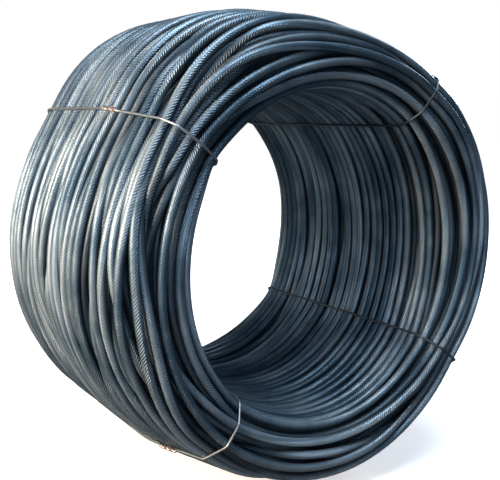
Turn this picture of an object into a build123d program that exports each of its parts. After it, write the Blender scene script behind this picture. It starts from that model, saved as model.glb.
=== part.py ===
from build123d import *
from math import sqrt
import os

# A coil of ribbed steel wire rod, tied with four wires, lying on its side. Its axis runs along Y, and its
# front end faces -Y. The origin is on the floor under its middle. The coil is worked out about its own axis
# first, as radius and Y, and is lifted onto the floor at the end.

# Rod and tie wire, in millimetres
ROD_DIAMETER = 16.0
TIE_WIRE_DIAMETER = 5.0

# The wound coil: its bore is even, and its outside widens behind the front end
BORE_DIAMETER = 590.0
FRONT_DIAMETER = 856.0
WIDEST_DIAMETER = 940.0
COIL_LENGTH = 632.0
FRONT_TAPER_LENGTH = 240.0

# Roundings of the two ends, where the outermost turns have slipped over the ones below them. The outer one
# takes what the end's width leaves it, and at least half a rod of the end stays flat.
FRONT_OUTER_ROUNDING = 50.0
FRONT_BORE_ROUNDING = 66.0
BACK_OUTER_ROUNDING = 126.0
BACK_BORE_ROUNDING = 36.0

# Turns that show on the ends: the gap between neighbours, how deep the groove between them is,
# and how far they go on past a rounding along the wall
TURN_GAP = 4.2
GROOVE_DEPTH = 6.5
TURNS_ALONG_WALL = 9.0

# Tie wires, one each quarter turn: the angle of the first, in degrees from +X towards +Z
TIE_NAMES = ["upper_right", "upper_left", "lower_left", "lower_right"]
FIRST_TIE_ANGLE = 52.6
TIE_CLEARANCE = 0.3

# The ends of each tie wire are twisted together on the outer wall. The wires press into each other there,
# so the twist is less than two wires thick. Its middle lies this far behind the front end.
TWIST_DIAMETER = 9.4
TWIST_LENGTH = 46.0
TWIST_FROM_FRONT = 132.0
TWIST_SIDES = 8

bore_radius = BORE_DIAMETER / 2
front_radius = FRONT_DIAMETER / 2
widest_radius = WIDEST_DIAMETER / 2
front_y = -COIL_LENGTH / 2
back_y = COIL_LENGTH / 2
widest_from_y = front_y + FRONT_TAPER_LENGTH
tie_radius = TIE_WIRE_DIAMETER / 2
tie_channel = TIE_WIRE_DIAMETER + 2 * TIE_CLEARANCE


def outer_wall(y):
    """The point of the outer wall at one place along the coil."""
    taper = min((y - front_y) / FRONT_TAPER_LENGTH, 1.0)
    return Vector(front_radius + (widest_radius - front_radius) * taper, y)


def end_envelope(end_y, into_coil, outer_rounding, bore_rounding):
    """The line round one end of the section, from the outer wall to the bore, that the turns lie up to."""
    end_width = outer_wall(end_y).X - bore_radius
    outer_rounding = min(outer_rounding, end_width - bore_rounding - ROD_DIAMETER / 2)
    wall_y = end_y + into_coil * (outer_rounding + TURNS_ALONG_WALL)
    bore_y = end_y + into_coil * (bore_rounding + TURNS_ALONG_WALL)
    corners = [outer_wall(wall_y), outer_wall(end_y), Vector(bore_radius, end_y), Vector(bore_radius, bore_y)]
    return FilletPolyline(*corners, radius=(outer_rounding, bore_rounding))


def turned_points(envelope, into_coil):
    """The outline of the turns at one end: every other point is a crown on the envelope, the rest are grooves."""
    turns = round(envelope.length / (ROD_DIAMETER + TURN_GAP))
    points = []
    for step in range(2 * turns + 1):
        along = step / (2 * turns)
        tangent = envelope % along
        inwards = Vector(tangent.Y, -tangent.X) * into_coil
        is_groove = step % 2 == 1
        points.append(envelope @ along + inwards * (GROOVE_DEPTH if is_groove else 0))
    return points


# Section of the coil, with radius along X and length along Y, and the same section without its grooves
front_turns = turned_points(end_envelope(front_y, 1, FRONT_OUTER_ROUNDING, FRONT_BORE_ROUNDING), 1)
back_turns = turned_points(end_envelope(back_y, -1, BACK_OUTER_ROUNDING, BACK_BORE_ROUNDING), -1)
shoulder = outer_wall(widest_from_y)
section = make_face(Polyline(*front_turns, *reversed(back_turns), shoulder, close=True))
crowns = make_face(Polyline(*front_turns[::2], *reversed(back_turns[::2]), shoulder, close=True))

# Inside the bore each tie wire has bedded in between the turns, so the bore stays clear: a channel takes it
channel_size = (bore_radius + tie_channel, COIL_LENGTH, tie_channel)
channel = Box(*channel_size, align=(Align.MIN, Align.CENTER, Align.CENTER))
tied_section = crowns - Rectangle(channel_size[0], channel_size[1], align=(Align.MIN, Align.CENTER))

# Everywhere else the wire is pulled straight from one crown to the next. It has eight sides.
wire_inside = offset(tied_section, TIE_CLEARANCE, kind=Kind.INTERSECTION)
wire_outside = offset(tied_section, TIE_CLEARANCE + TIE_WIRE_DIAMETER, kind=Kind.INTERSECTION)
square_loop = extrude(wire_outside - wire_inside, amount=tie_radius, both=True)
tie_loop = chamfer(square_loop.edges() - square_loop.edges().filter_by(Axis.Z), tie_radius * (2 - sqrt(2)))

# The twist lies along the wire on the front taper, with its middle level with the top of the wire
taper_direction = shoulder - outer_wall(front_y)
taper_normal = Vector(taper_direction.Y, -taper_direction.X).normalized()
twist_middle = outer_wall(front_y + TWIST_FROM_FRONT) + taper_normal * (TIE_CLEARANCE + TIE_WIRE_DIAMETER)
twist_profile = RegularPolygon(TWIST_DIAMETER / 2, TWIST_SIDES, major_radius=False)
twist = extrude(Plane(twist_middle, z_dir=taper_direction) * twist_profile, amount=TWIST_LENGTH / 2, both=True)
tie = tie_loop + twist

coil = revolve(section, Axis.Y)
onto_floor = Pos(0, 0, widest_radius)
ties = {}
for number, name in enumerate(TIE_NAMES):
    around = Rot(0, -(FIRST_TIE_ANGLE + 360 / len(TIE_NAMES) * number), 0)
    coil -= around * channel
    ties[f"tie_wire_{name}"] = onto_floor * around * tie

os.makedirs("parts", exist_ok=True)
export_step(onto_floor * coil, "parts/wire_rod_coil.step")
for name, wire in ties.items():
    export_step(wire, f"parts/{name}.step")
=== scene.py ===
import bmesh
import bpy
import math
import numpy as np
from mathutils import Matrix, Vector


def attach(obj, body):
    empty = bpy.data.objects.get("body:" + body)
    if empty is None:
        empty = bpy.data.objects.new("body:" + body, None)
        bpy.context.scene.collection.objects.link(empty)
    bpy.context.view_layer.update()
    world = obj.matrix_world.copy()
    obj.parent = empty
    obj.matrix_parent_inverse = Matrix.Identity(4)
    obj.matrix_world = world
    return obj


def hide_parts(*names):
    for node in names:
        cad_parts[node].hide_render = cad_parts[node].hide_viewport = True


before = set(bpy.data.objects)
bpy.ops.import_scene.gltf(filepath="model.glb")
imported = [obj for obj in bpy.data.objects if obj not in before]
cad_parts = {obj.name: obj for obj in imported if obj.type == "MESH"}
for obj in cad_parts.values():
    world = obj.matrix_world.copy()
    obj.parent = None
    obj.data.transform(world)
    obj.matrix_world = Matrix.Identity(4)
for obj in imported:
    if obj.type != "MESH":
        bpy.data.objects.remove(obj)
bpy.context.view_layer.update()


# THE COILED ROD
# Ribbed steel wire rod, 16 mm thick, hot rolled and wound turn beside turn. What can be seen of it is one
# long rod, laid four times round the section of the coil: a close layer, and three looser ones over it, whose
# turns wander and cross each other.
ROD_DIAMETER = 0.016
AXIS_HEIGHT = 0.470
# The line that the outermost turns lie just under, as its corners: radius, place along the coil, rounding
SECTION = [(0.425, -0.314, 0.049), (0.462, -0.082, 0.400), (0.462, 0.314, 0.126), (0.297, 0.314, 0.036),
           (0.297, -0.314, 0.063)]
UNDER_OUTLINE = 0.0004
CORNER_POINTS = 40
# Each layer: its name, how many turns it has, and the share of the wander that they have. The share is
# reached a few turns in, and changes evenly from one layer to the next
LAYERS = [("inner_turns", 84, 0.05), ("middle_turns", 72, 0.9), ("upper_turns", 60, 1.0),
          ("top_turns", 60, 1.0)]
REACHED_AFTER = 3
STEPS_PER_TURN = 128
# The rod starts on the outer rounding of the far end, this share of the way round the section, and each
# layer ends there again
START = 0.45
# How the rod wanders: the turns that it takes to change, and how far it goes in waves that fit once, twice
# and so on into one turn
WANDERS = [(3.0, [0.0100, 0.0070, 0.0040, 0.0015]), (0.9, [0.0080, 0.0060, 0.0035, 0.0015, 0.0007])]
# The turns lie straightest in the bore, where the ones outside them hold them, and loosest on the outside
MEAN_LOOSENESS = 0.68
LOOSER_OUTSIDE = 0.42
LOOSER_ON_ENDS = 0.15
# How deep a turn can be pressed in, and over how many steps to each side the stiff rod evens its depth out
DEEPEST = 0.042
STIFF_OVER = 6
# The coil isn't round: it and its bore are higher than they are wide, and it is a little square, hollow near
# the ties. Hollows repeat evenly round it: how many there are, how deep, and the angle of the first of them
OUTSIDE_HOLLOWS = [(1, 0.001, 180), (2, 0.0055, 5), (3, 0.0045, 60), (4, 0.0065, 67), (5, 0.0035, 8),
                   (6, 0.002, 22)]
BORE_HOLLOWS = [(1, 0.007, -66), (2, 0.017, 90), (3, 0.003, 63), (4, 0.0015, 43)]
# The tie wires pull the turns in: at which angles, by how much, and how far to each side, in radians
TIE_ANGLES = [52.6, 142.6, 232.6, 322.6]
TIE_PULL = 0.004
TIE_PULL_SPREAD = 0.15


def length_along(points):
    """The length along a line of points, up to each of them."""
    return np.concatenate([[0], np.cumsum(np.linalg.norm(np.diff(points, axis=0), axis=1))])


def rounded_section(corners, spacing=0.001):
    """Points round the rounded outline, the directions out of it there, and its length. Both the spacing and
    the length are measured one rod under the outline."""
    points, outwards = [], []
    for number, (radius, along, rounding) in enumerate(corners):
        corner = np.array([radius, along])
        to_last = np.array(corners[number - 1][:2]) - corner
        to_next = np.array(corners[(number + 1) % len(corners)][:2]) - corner
        to_last = to_last / np.linalg.norm(to_last)
        to_next = to_next / np.linalg.norm(to_next)
        half = math.acos(np.clip(to_last @ to_next, -1, 1)) / 2
        to_middle = (to_last + to_next) / np.linalg.norm(to_last + to_next)
        middle = corner + to_middle * rounding / math.sin(half)
        across, up = corner + to_last * rounding / math.tan(half) - middle
        first = np.arctan2(up, across)
        for angle in first + np.linspace(0, math.pi - 2 * half, CORNER_POINTS):
            outwards.append([math.cos(angle), math.sin(angle)])
            points.append(middle + rounding * np.array(outwards[-1]))
    points = np.array(points + points[:1])
    outwards = np.array(outwards + outwards[:1])
    length = length_along(points - ROD_DIAMETER * outwards)
    even = np.linspace(0, length[-1], round(length[-1] / spacing), endpoint=False)
    points = np.stack([np.interp(even, length, points[:, 0]), np.interp(even, length, points[:, 1])], 1)
    outwards = np.stack([np.interp(even, length, outwards[:, 0]), np.interp(even, length, outwards[:, 1])], 1)
    return points, outwards, length[-1]


section_points, section_outwards, section_length = rounded_section(SECTION)


def round_section(where, values):
    """A value of the section at any distance round it, which may be more than once round."""
    grid = np.arange(len(values) + 1) * section_length / len(values)
    return np.interp(np.mod(where, section_length), grid, np.append(values, values[0]))


def slow_change(turn, every, random):
    """A value that changes smoothly as the coil is wound, from one random number to the next."""
    knots = random.normal(size=int(turn[-1] / every) + 3)
    place = turn / every
    first = place.astype(int)
    share = (1 - np.cos((place - first) * math.pi)) / 2
    return knots[first] * (1 - share) + knots[first + 1] * share


def wander(turn, every, strengths, random):
    """How far the rod lies to one side of its even place: waves round the coil that change as it is wound."""
    total = np.zeros(len(turn))
    for wave, strength in enumerate(strengths, 1):
        angle = 2 * math.pi * turn * wave
        total += strength * (slow_change(turn, every, random) * np.cos(angle)
                             + slow_change(turn, every, random) * np.sin(angle))
    return total


random = np.random.default_rng(11)
layer_starts = np.concatenate([[0], np.cumsum([turns for _, turns, _ in LAYERS])])
turn_count = int(layer_starts[-1])
turn = np.arange(turn_count * STEPS_PER_TURN) / STEPS_PER_TURN
even_place = np.interp(turn, layer_starts, np.arange(len(LAYERS) + 1) * section_length)
even_place += START * section_length
looseness = np.interp(turn, layer_starts[:-1] + REACHED_AFTER, [amount for _, _, amount in LAYERS])
looseness *= MEAN_LOOSENESS + LOOSER_OUTSIDE * round_section(even_place, section_outwards[:, 0])
looseness *= 1 + LOOSER_ON_ENDS * np.abs(round_section(even_place, section_outwards[:, 1]))
sideways = sum(wander(turn, every, strengths, random) for every, strengths in WANDERS)
place = even_place + sideways * looseness

# The ties hold the coil in, so its last turns lie up to the outline, and each turn under them is pressed in
# where a later one crosses it or lies beside it
place_by_turn = place.reshape(turn_count, STEPS_PER_TURN)
depth_by_turn = np.zeros_like(place_by_turn)
for number in range(turn_count - 2, -1, -1):
    beside = place_by_turn[number + 1:] - place_by_turn[number]
    beside = (beside + section_length / 2) % section_length - section_length / 2
    over = np.sqrt(np.clip(ROD_DIAMETER ** 2 - beside ** 2, 0, None))
    depth_by_turn[number] = np.where(over > 0, depth_by_turn[number + 1:] + over, 0).max(axis=0)
rod_depth = np.minimum(depth_by_turn.ravel(), DEEPEST)
stiffness = np.exp(-np.linspace(-2, 2, 2 * STIFF_OVER + 1) ** 2)
rod_depth = np.convolve(np.pad(rod_depth, STIFF_OVER, mode="edge"), stiffness / stiffness.sum(), mode="valid")
rod_depth += ROD_DIAMETER / 2 + UNDER_OUTLINE


def out_of_round(angle, hollows):
    """How deep the hollows are at an angle round the coil. Between two of them it stands out as far."""
    return sum(deep * np.cos(count * (angle - math.radians(first))) for count, deep, first in hollows)


def coil_points(place, depth, angle):
    """Points in the coil: how far round the section, how deep under its outline, the angle round the axis."""
    to_outside = round_section(place, section_outwards[:, 0])
    to_end = round_section(place, section_outwards[:, 1])
    from_ties = [(np.degrees(angle) - tie + 180) % 360 - 180 for tie in TIE_ANGLES]
    spread = math.degrees(TIE_PULL_SPREAD)
    inset = depth + TIE_PULL * sum(np.exp(-(away / spread) ** 2) for away in from_ties)
    inset += np.clip(to_outside, 0, 1) * out_of_round(angle, OUTSIDE_HOLLOWS)
    inset += np.clip(-to_outside, 0, 1) * out_of_round(angle, BORE_HOLLOWS)
    radius = round_section(place, section_points[:, 0]) - inset * to_outside
    along = round_section(place, section_points[:, 1]) - inset * to_end
    return np.stack([radius * np.cos(angle), along, radius * np.sin(angle) + AXIS_HEIGHT], 1)


rod_angle = 2 * math.pi * turn
rod_line = coil_points(place, rod_depth, rod_angle)
to_outside = round_section(place, section_outwards[:, 0])
to_end = round_section(place, section_outwards[:, 1])
out_of_coil = np.stack([to_outside * np.cos(rod_angle), to_end, to_outside * np.sin(rod_angle)], 1)


def round_bar(name, line, diameter):
    """A round bar along a line of points, as a mesh. Its UV map holds how far round it, as a share, and how
    far along it, in metres."""
    curve = bpy.data.curves.new(name, "CURVE")
    curve.dimensions = "3D"
    curve.bevel_depth = diameter / 2
    # This resolution gives the bar eight sides
    curve.bevel_resolution = 2
    curve.use_fill_caps = True
    spline = curve.splines.new("POLY")
    spline.points.add(len(line) - 1)
    spline.points.foreach_set("co", np.column_stack([line, np.ones(len(line))]).ravel())
    drawn = bpy.data.objects.new(name, curve)
    mesh = bpy.data.meshes.new_from_object(drawn)
    bpy.data.objects.remove(drawn)
    uv = np.empty(len(mesh.loops) * 2, np.float32)
    mesh.uv_layers[0].data.foreach_get("uv", uv)
    share_along, share_round = uv.reshape(-1, 2).T
    metres = np.interp(share_along * (len(line) - 1), np.arange(len(line)), length_along(line))
    uv = np.column_stack([share_round, metres]).astype(np.float32)
    mesh.uv_layers[0].data.foreach_set("uv", uv.ravel())
    mesh.name = name
    piece = bpy.data.objects.new(name, mesh)
    bpy.context.scene.collection.objects.link(piece)
    return piece


def mark_depth(piece, line, outwards, depth):
    """Gives a bar an attribute: how deep each point of its surface lies under the outline of the coil."""
    mesh = piece.data
    spots = np.empty(len(mesh.vertices) * 3, np.float32)
    mesh.vertices.foreach_get("co", spots)
    spots = spots.reshape(-1, 3)
    sides = len(spots) // len(line)
    # Blender puts the cap at the far end first, then the one at the start, then the rings along the bar
    ring = np.repeat(np.concatenate([[len(line) - 1, 0], np.arange(len(line))]), sides)
    surface = depth[ring] - ((spots - line[ring]) * outwards[ring]).sum(1)
    mesh.attributes.new("depth", "FLOAT", "POINT").data.foreach_set("value", surface.astype(np.float32))


def linear(code):
    """An sRGB hex colour as the linear colour that Blender takes."""
    values = [int(code[i:i + 2], 16) / 255 for i in (1, 3, 5)]
    return [v / 12.92 if v <= 0.04045 else ((v + 0.055) / 1.055) ** 2.4 for v in values] + [1.0]


def add(tree, kind, settings=None, inputs=None):
    """Adds a node with its settings. An input is a value, a node or one of a node's outputs."""
    new = tree.nodes.new("ShaderNode" + kind)
    for name, value in (settings or {}).items():
        setattr(new, name, value)
    for name, value in (inputs or {}).items():
        if isinstance(value, bpy.types.Node):
            value = value.outputs[0]
        if isinstance(value, bpy.types.NodeSocket):
            tree.links.new(value, new.inputs[name])
        else:
            new.inputs[name].default_value = value
    return new


# The colour sockets of a Mix node go by number, because their names are also those of its other sockets
FROM_COLOUR = 6
TO_COLOUR = 7
MIXED_COLOUR = 2


def new_material(name):
    """An empty material, its node tree and its shader."""
    material = bpy.data.materials.new(name)
    material.use_nodes = True
    tree = material.node_tree
    tree.nodes.clear()
    shader = add(tree, "BsdfPrincipled")
    add(tree, "OutputMaterial", inputs={"Surface": shader.outputs[0]})
    return material, tree, shader


# Hot-rolled ribbed steel: blue-grey mill scale with a satin gloss, its tone uneven in patches and from
# stretch to stretch, and rubbed paler on the crests of the ribs. Painted shade makes it darker down between
# the turns. Two rows of slanting ribs lean opposite ways, with a plain strip between the rows. The rod has
# twisted about itself as it was wound, so a stretch of it shows ribs, the strip or both.
RIB_SPACING = 0.006
RIB_HEIGHT = 0.0009
# How many rib spacings a rib would run along the rod in one turn round it
RIB_LEAN = 8.0
# The rod turns about itself by up to this many turns, and changes that over this many metres
ROD_TWISTS = 4.0
TWIST_CHANGES_OVER = 2.0
PATCHES_PER_METRE = 9.0
STRETCHES_PER_METRE = 1.1
# Painted shade: none up to the first of these depths under the coil's outline, and darkest at the second
UNSHADED_DEPTH = 0.004
DARKEST_SHADE_DEPTH = 0.018

rod_steel, tree, shader = new_material("hot_rolled_ribbed_steel")
uv = add(tree, "SeparateXYZ", inputs={0: add(tree, "UVMap", {"uv_map": "UVMap"})})
twist = add(tree, "TexNoise", {"noise_dimensions": "1D"},
            {"W": uv.outputs["Y"], "Scale": 1 / TWIST_CHANGES_OVER, "Detail": 0.0})
round_rod = add(tree, "Math", {"operation": "MULTIPLY_ADD"},
                {0: twist.outputs[0], 1: ROD_TWISTS, 2: uv.outputs["X"]})
lean = add(tree, "Math", {"operation": "PINGPONG"}, {0: round_rod, 1: 0.5})
lean = add(tree, "Math", {"operation": "MULTIPLY"}, {0: lean, 1: RIB_LEAN})
phase = add(tree, "Math", {"operation": "MULTIPLY_ADD"}, {0: uv.outputs["Y"], 1: 1 / RIB_SPACING, 2: lean})
wave = add(tree, "Math", {"operation": "MULTIPLY"}, {0: phase, 1: 2 * math.pi})
wave = add(tree, "Math", {"operation": "SINE"}, {0: wave})
rib = add(tree, "MapRange", {"interpolation_type": "SMOOTHSTEP"},
          {"Value": wave, "From Min": -0.6, "From Max": 0.9})
strip = add(tree, "Math", {"operation": "MULTIPLY"}, {0: round_rod, 1: 2 * math.pi})
strip = add(tree, "Math", {"operation": "SINE"}, {0: strip})
strip = add(tree, "Math", {"operation": "ABSOLUTE"}, {0: strip})
strip = add(tree, "MapRange", {"interpolation_type": "SMOOTHSTEP"},
            {"Value": strip, "From Min": 0.2, "From Max": 0.55})
rib = add(tree, "Math", {"operation": "MULTIPLY"}, {0: rib, 1: strip})
place_on_coil = add(tree, "TexCoord").outputs["Object"]
patches = add(tree, "TexNoise", inputs={"Vector": place_on_coil, "Scale": PATCHES_PER_METRE,
                                        "Detail": 4.0, "Roughness": 0.6})
stretches = add(tree, "TexNoise", {"noise_dimensions": "1D"},
                {"W": uv.outputs["Y"], "Scale": STRETCHES_PER_METRE, "Detail": 2.0})
tone = add(tree, "Math", {"operation": "ADD"}, {0: patches, 1: stretches})
tone = add(tree, "MapRange", inputs={"Value": tone, "From Min": 0.8, "From Max": 1.2})
depth = add(tree, "Attribute", {"attribute_name": "depth"}).outputs["Fac"]
# Painted shade: the deeper the surface lies under the coil's outline, the nearer its colour goes to dark
# blue-grey
painted_gap_shade = add(tree, "MapRange", inputs={"Value": depth, "From Min": UNSHADED_DEPTH, "From Max": DARKEST_SHADE_DEPTH,
                                       "To Max": 0.75})
body = add(tree, "Mix", {"data_type": "RGBA"},
           {"Factor": tone, FROM_COLOUR: linear("#3c5361"), TO_COLOUR: linear("#7b8f98")})
crest = add(tree, "Mix", {"data_type": "RGBA"},
            {"Factor": tone, FROM_COLOUR: linear("#586f7a"), TO_COLOUR: linear("#a6b5ba")})
colour = add(tree, "Mix", {"data_type": "RGBA"},
             {"Factor": rib, FROM_COLOUR: body.outputs[MIXED_COLOUR], TO_COLOUR: crest.outputs[MIXED_COLOUR]})
colour = add(tree, "Mix", {"data_type": "RGBA"},
             {"Factor": painted_gap_shade, FROM_COLOUR: colour.outputs[MIXED_COLOUR], TO_COLOUR: linear("#1c2830")})
bump = add(tree, "Bump", inputs={"Height": rib, "Distance": RIB_HEIGHT, "Strength": 1.0})
tree.links.new(colour.outputs[MIXED_COLOUR], shader.inputs["Base Color"])
tree.links.new(bump.outputs[0], shader.inputs["Normal"])
shader.inputs["Metallic"].default_value = 0.75
shader.inputs["Roughness"].default_value = 0.42

# The rod is drawn in one length for each layer, and the lengths join end to end. The inner turns hardly show,
# so they take every other step
for (name, _, _), first, last in zip(LAYERS, layer_starts[:-1], layer_starts[1:]):
    every = 2 if name == "inner_turns" else 1
    stretch = slice(int(first) * STEPS_PER_TURN, int(last) * STEPS_PER_TURN + 1, every)
    piece = round_bar(name, rod_line[stretch], ROD_DIAMETER)
    mark_depth(piece, rod_line[stretch], out_of_coil[stretch], rod_depth[stretch])
    piece.data.materials.clear()
    piece.data.materials.append(rod_steel)
    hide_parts("wire_rod_coil")
    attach(piece, "root")


# THE TIE WIRES
# Four soft steel wires, 5 mm thick, one each quarter turn. Each is pulled tight round the section of the
# coil, over the highest turns, and its two ends are wound round each other on the outside, 130 mm behind the
# front.
WIRE_DIAMETER = 0.005
WIRE_STEP = 0.0025
TIE_NAMES = ["upper_right", "upper_left", "lower_left", "lower_right"]
TWIST_LENGTH = 0.046
TWIST_PLACE = -0.184
TWIST_TURNS = 2.5
# The two wires press into each other a little in the twist, and they close up over this length beside it
TWIST_RADIUS = 0.47 * WIRE_DIAMETER
CLOSE_UP = 0.012
# A part of the loop with a larger radius than this is on the outside of the coil
OUTSIDE_FROM = 0.4
RING_POINTS = 24


def tight_loop(angle):
    """The line of a wire pulled tight round all the turns at one angle: radius and place along the coil."""
    step = round(angle / 360 * STEPS_PER_TURN)
    at = slice(step % STEPS_PER_TURN, None, STEPS_PER_TURN)
    crossing = coil_points(place[at], rod_depth[at], np.full(len(place[at]), math.radians(angle)))
    crossing = np.stack([np.hypot(crossing[:, 0], crossing[:, 2] - AXIS_HEIGHT), crossing[:, 1]], 1)
    ring = np.linspace(0, 2 * math.pi, RING_POINTS, endpoint=False)
    reach = (ROD_DIAMETER + WIRE_DIAMETER) / 2
    cloud = (crossing[:, None] + reach * np.stack([np.cos(ring), np.sin(ring)], 1)).reshape(-1, 2)
    cloud = cloud[np.lexsort((cloud[:, 1], cloud[:, 0]))]
    loop = []
    for points in (cloud, cloud[::-1]):
        side = []
        for point in points:
            # A pulled wire doesn't touch a point where it would turn inwards
            while len(side) > 1 and np.cross(side[-1] - side[-2], point - side[-1]) <= 0:
                side.pop()
            side.append(point)
        loop += side[:-1]
    return np.array(loop + loop[:1])


# Drawn low-carbon wire, bright where it is still clean. It is stained brown in patches and at the twists,
# and duller and rougher there. Towards the right of the coil its colour is darkened as painted shade.
STAINS_PER_METRE = 22.0
# The stain at a twist is full up to the first of these lengths from the wire's start, and gone at the second
TWIST_STAINED = 0.045
TWIST_CLEAN = 0.060
# Painted shade darkens the wire from the coil's middle up to this place on the right
FULLY_SHADED_FROM_X = 0.15

tie_wire, tree, shader = new_material("drawn_steel_tie_wire")
place_on_coil = add(tree, "TexCoord").outputs["Object"]
to_right = add(tree, "SeparateXYZ", inputs={0: place_on_coil})
# Painted shade on the right of the coil
painted_shade_on_right = add(tree, "MapRange", inputs={"Value": to_right, "From Max": FULLY_SHADED_FROM_X, "To Max": 0.9})
stains = add(tree, "TexNoise", inputs={"Vector": place_on_coil, "Scale": STAINS_PER_METRE, "Detail": 3.0})
stains = add(tree, "MapRange", inputs={"Value": stains, "From Min": 0.6, "From Max": 0.8, "To Max": 0.5})
uv = add(tree, "SeparateXYZ", inputs={0: add(tree, "UVMap", {"uv_map": "UVMap"})})
twisted = add(tree, "MapRange",
              inputs={"Value": uv.outputs["Y"], "From Min": TWIST_CLEAN, "From Max": TWIST_STAINED})
stains = add(tree, "Math", {"operation": "MAXIMUM"}, {0: stains, 1: twisted})
colour = add(tree, "Mix", {"data_type": "RGBA"},
             {"Factor": stains, FROM_COLOUR: linear("#8b9190"), TO_COLOUR: linear("#6d5546")})
colour = add(tree, "Mix", {"data_type": "RGBA"},
             {"Factor": painted_shade_on_right, FROM_COLOUR: colour.outputs[MIXED_COLOUR], TO_COLOUR: linear("#3f494f")})
metallic = add(tree, "MapRange", inputs={"Value": stains, "To Min": 0.85, "To Max": 0.1})
roughness = add(tree, "MapRange", inputs={"Value": stains, "To Min": 0.38, "To Max": 0.8})
tree.links.new(colour.outputs[MIXED_COLOUR], shader.inputs["Base Color"])
tree.links.new(metallic.outputs[0], shader.inputs["Metallic"])
tree.links.new(roughness.outputs[0], shader.inputs["Roughness"])

for name, angle in zip(TIE_NAMES, TIE_ANGLES):
    loop = tight_loop(angle)
    length = length_along(loop)
    from_twist = np.where(loop[:, 0] > OUTSIDE_FROM, np.abs(loop[:, 1] - TWIST_PLACE), math.inf)
    middle = length[np.argmin(from_twist)]
    total = length[-1]
    run = np.arange(-TWIST_LENGTH / 2, total + TWIST_LENGTH / 2, WIRE_STEP)
    radius = np.interp((middle + run) % total, length, loop[:, 0])
    along = np.interp((middle + run) % total, length, loop[:, 1])
    # The start and the end of the wire lie in the twist, half a turn apart, and close up beside it
    at_start = np.clip((TWIST_LENGTH / 2 + CLOSE_UP - run) / CLOSE_UP, 0, 1)
    at_end = np.clip((run - total + TWIST_LENGTH / 2 + CLOSE_UP) / CLOSE_UP, 0, 1)
    start_turned = 2 * math.pi * TWIST_TURNS * run / TWIST_LENGTH
    end_turned = 2 * math.pi * TWIST_TURNS * (run - total) / TWIST_LENGTH + math.pi
    aside = TWIST_RADIUS * (at_start * np.cos(start_turned) + at_end * np.cos(end_turned))
    radius += TWIST_RADIUS * (at_start * (1 + np.sin(start_turned)) + at_end * (1 + np.sin(end_turned)))
    theta = math.radians(angle)
    line = np.stack([radius * math.cos(theta) - aside * math.sin(theta), along,
                     radius * math.sin(theta) + AXIS_HEIGHT + aside * math.cos(theta)], 1)
    piece = round_bar("tie_wire_" + name + "_look", line, WIRE_DIAMETER)
    piece.data.materials.clear()
    piece.data.materials.append(tie_wire)
    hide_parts("tie_wire_" + name)
    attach(piece, "root")


# THE STUDIO
# A pale floor and a white room. A large soft lamp on the left lights the coil most, one overhead about half
# as much, and weaker ones stand in front, behind and on the right.
FLOOR_REACH = 14
# The floor glows for the camera: faintly up to the first of these distances, where the coil's shadow lies,
# and fully from the second on
FAINT_UP_TO = 0.9
WHITE_FROM = 3.0

floor_mesh = bmesh.new()
bmesh.ops.create_grid(floor_mesh, x_segments=1, y_segments=1, size=FLOOR_REACH)
floor_data = bpy.data.meshes.new("floor")
floor_mesh.to_mesh(floor_data)
floor_mesh.free()
floor = bpy.data.objects.new("floor", floor_data)
bpy.context.scene.collection.objects.link(floor)

# Matt pale paint. It is darker to everything but the camera, so that it doesn't light the metal from below
floor_paint, tree, shader = new_material("pale_floor")
shader.inputs["Roughness"].default_value = 0.9
seen = add(tree, "LightPath").outputs["Is Camera Ray"]
colour = add(tree, "Mix", {"data_type": "RGBA"},
             {"Factor": seen, FROM_COLOUR: linear("#505050"), TO_COLOUR: linear("#f2f2f2")})
tree.links.new(colour.outputs[MIXED_COLOUR], shader.inputs["Base Color"])
shader.inputs["Emission Color"].default_value = (1, 1, 1, 1)
distance = add(tree, "VectorMath", {"operation": "LENGTH"}, {0: add(tree, "TexCoord").outputs["Object"]})
glow = add(tree, "MapRange", inputs={"Value": distance.outputs["Value"], "From Min": FAINT_UP_TO,
                                     "From Max": WHITE_FROM, "To Min": 0.4, "To Max": 1.0})
glow = add(tree, "Math", {"operation": "MULTIPLY"}, {0: seen, 1: glow})
tree.links.new(glow.outputs[0], shader.inputs["Emission Strength"])
floor_data.materials.append(floor_paint)

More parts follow.
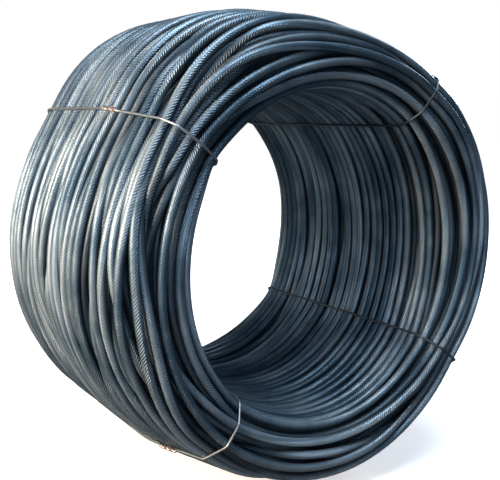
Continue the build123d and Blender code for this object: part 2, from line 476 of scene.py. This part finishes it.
# The room is white to the camera. The coil is in faint bluish light from all round, brighter from above
world = bpy.data.worlds.new("studio")
bpy.context.scene.world = world
world.use_nodes = True
tree = world.node_tree
tree.nodes.clear()
seen = add(tree, "LightPath").outputs["Is Camera Ray"]
direction = add(tree, "SeparateXYZ", inputs={0: add(tree, "TexCoord").outputs["Generated"]})
height = add(tree, "MapRange", inputs={"Value": direction.outputs["Z"], "From Min": -0.5, "From Max": 1.0})
sky = add(tree, "Mix", {"data_type": "RGBA"},
          {"Factor": height, FROM_COLOUR: linear("#56697c"), TO_COLOUR: linear("#b4d0fa")})
room = add(tree, "Background", inputs={"Color": sky.outputs[MIXED_COLOUR], "Strength": 0.2})
white = add(tree, "Background", inputs={"Color": (1, 1, 1, 1), "Strength": 1.0})
mixed = add(tree, "MixShader", inputs={0: seen, 1: room.outputs[0], 2: white.outputs[0]})
add(tree, "OutputWorld", inputs={"Surface": mixed.outputs[0]})

COIL_MIDDLE = Vector((0, 0, 0.45))


def lamp(name, where, size, power, colour):
    """A square area lamp that faces the middle of the coil."""
    light = bpy.data.lights.new(name, "AREA")
    light.size = size
    light.energy = power
    light.color = linear(colour)[:3]
    hung = bpy.data.objects.new(name, light)
    hung.location = where
    hung.rotation_euler = (COIL_MIDDLE - Vector(where)).to_track_quat("-Z", "Y").to_euler()
    bpy.context.scene.collection.objects.link(hung)


lamp("key", (-4.2, -0.35, 1.6), 2.0, 450, "#ffe2cc")
lamp("overhead", (-0.1, -1.3, 4.5), 1.8, 205, "#d8e8ff")
lamp("front", (-1.9, -3.8, 1.0), 1.8, 55, "#d4e6ff")
lamp("back", (-3.4, 2.6, 1.4), 1.8, 50, "#fff6ec")
lamp("right", (4.1, 1.6, 1.9), 1.8, 170, "#eef4ff")

camera_data = bpy.data.cameras.new("camera")
camera_data.lens = 59.11
camera_data.sensor_width = 36
camera_data.sensor_fit = "HORIZONTAL"
camera = bpy.data.objects.new("camera", camera_data)
camera.location = (-0.9229, -1.4851, 0.7289)
camera.rotation_euler = Vector((0.5245, 0.8384, -0.1485)).to_track_quat("-Z", "Y").to_euler()
bpy.context.scene.collection.objects.link(camera)
bpy.context.scene.camera = camera
bpy.context.scene.view_settings.view_transform = "Standard"
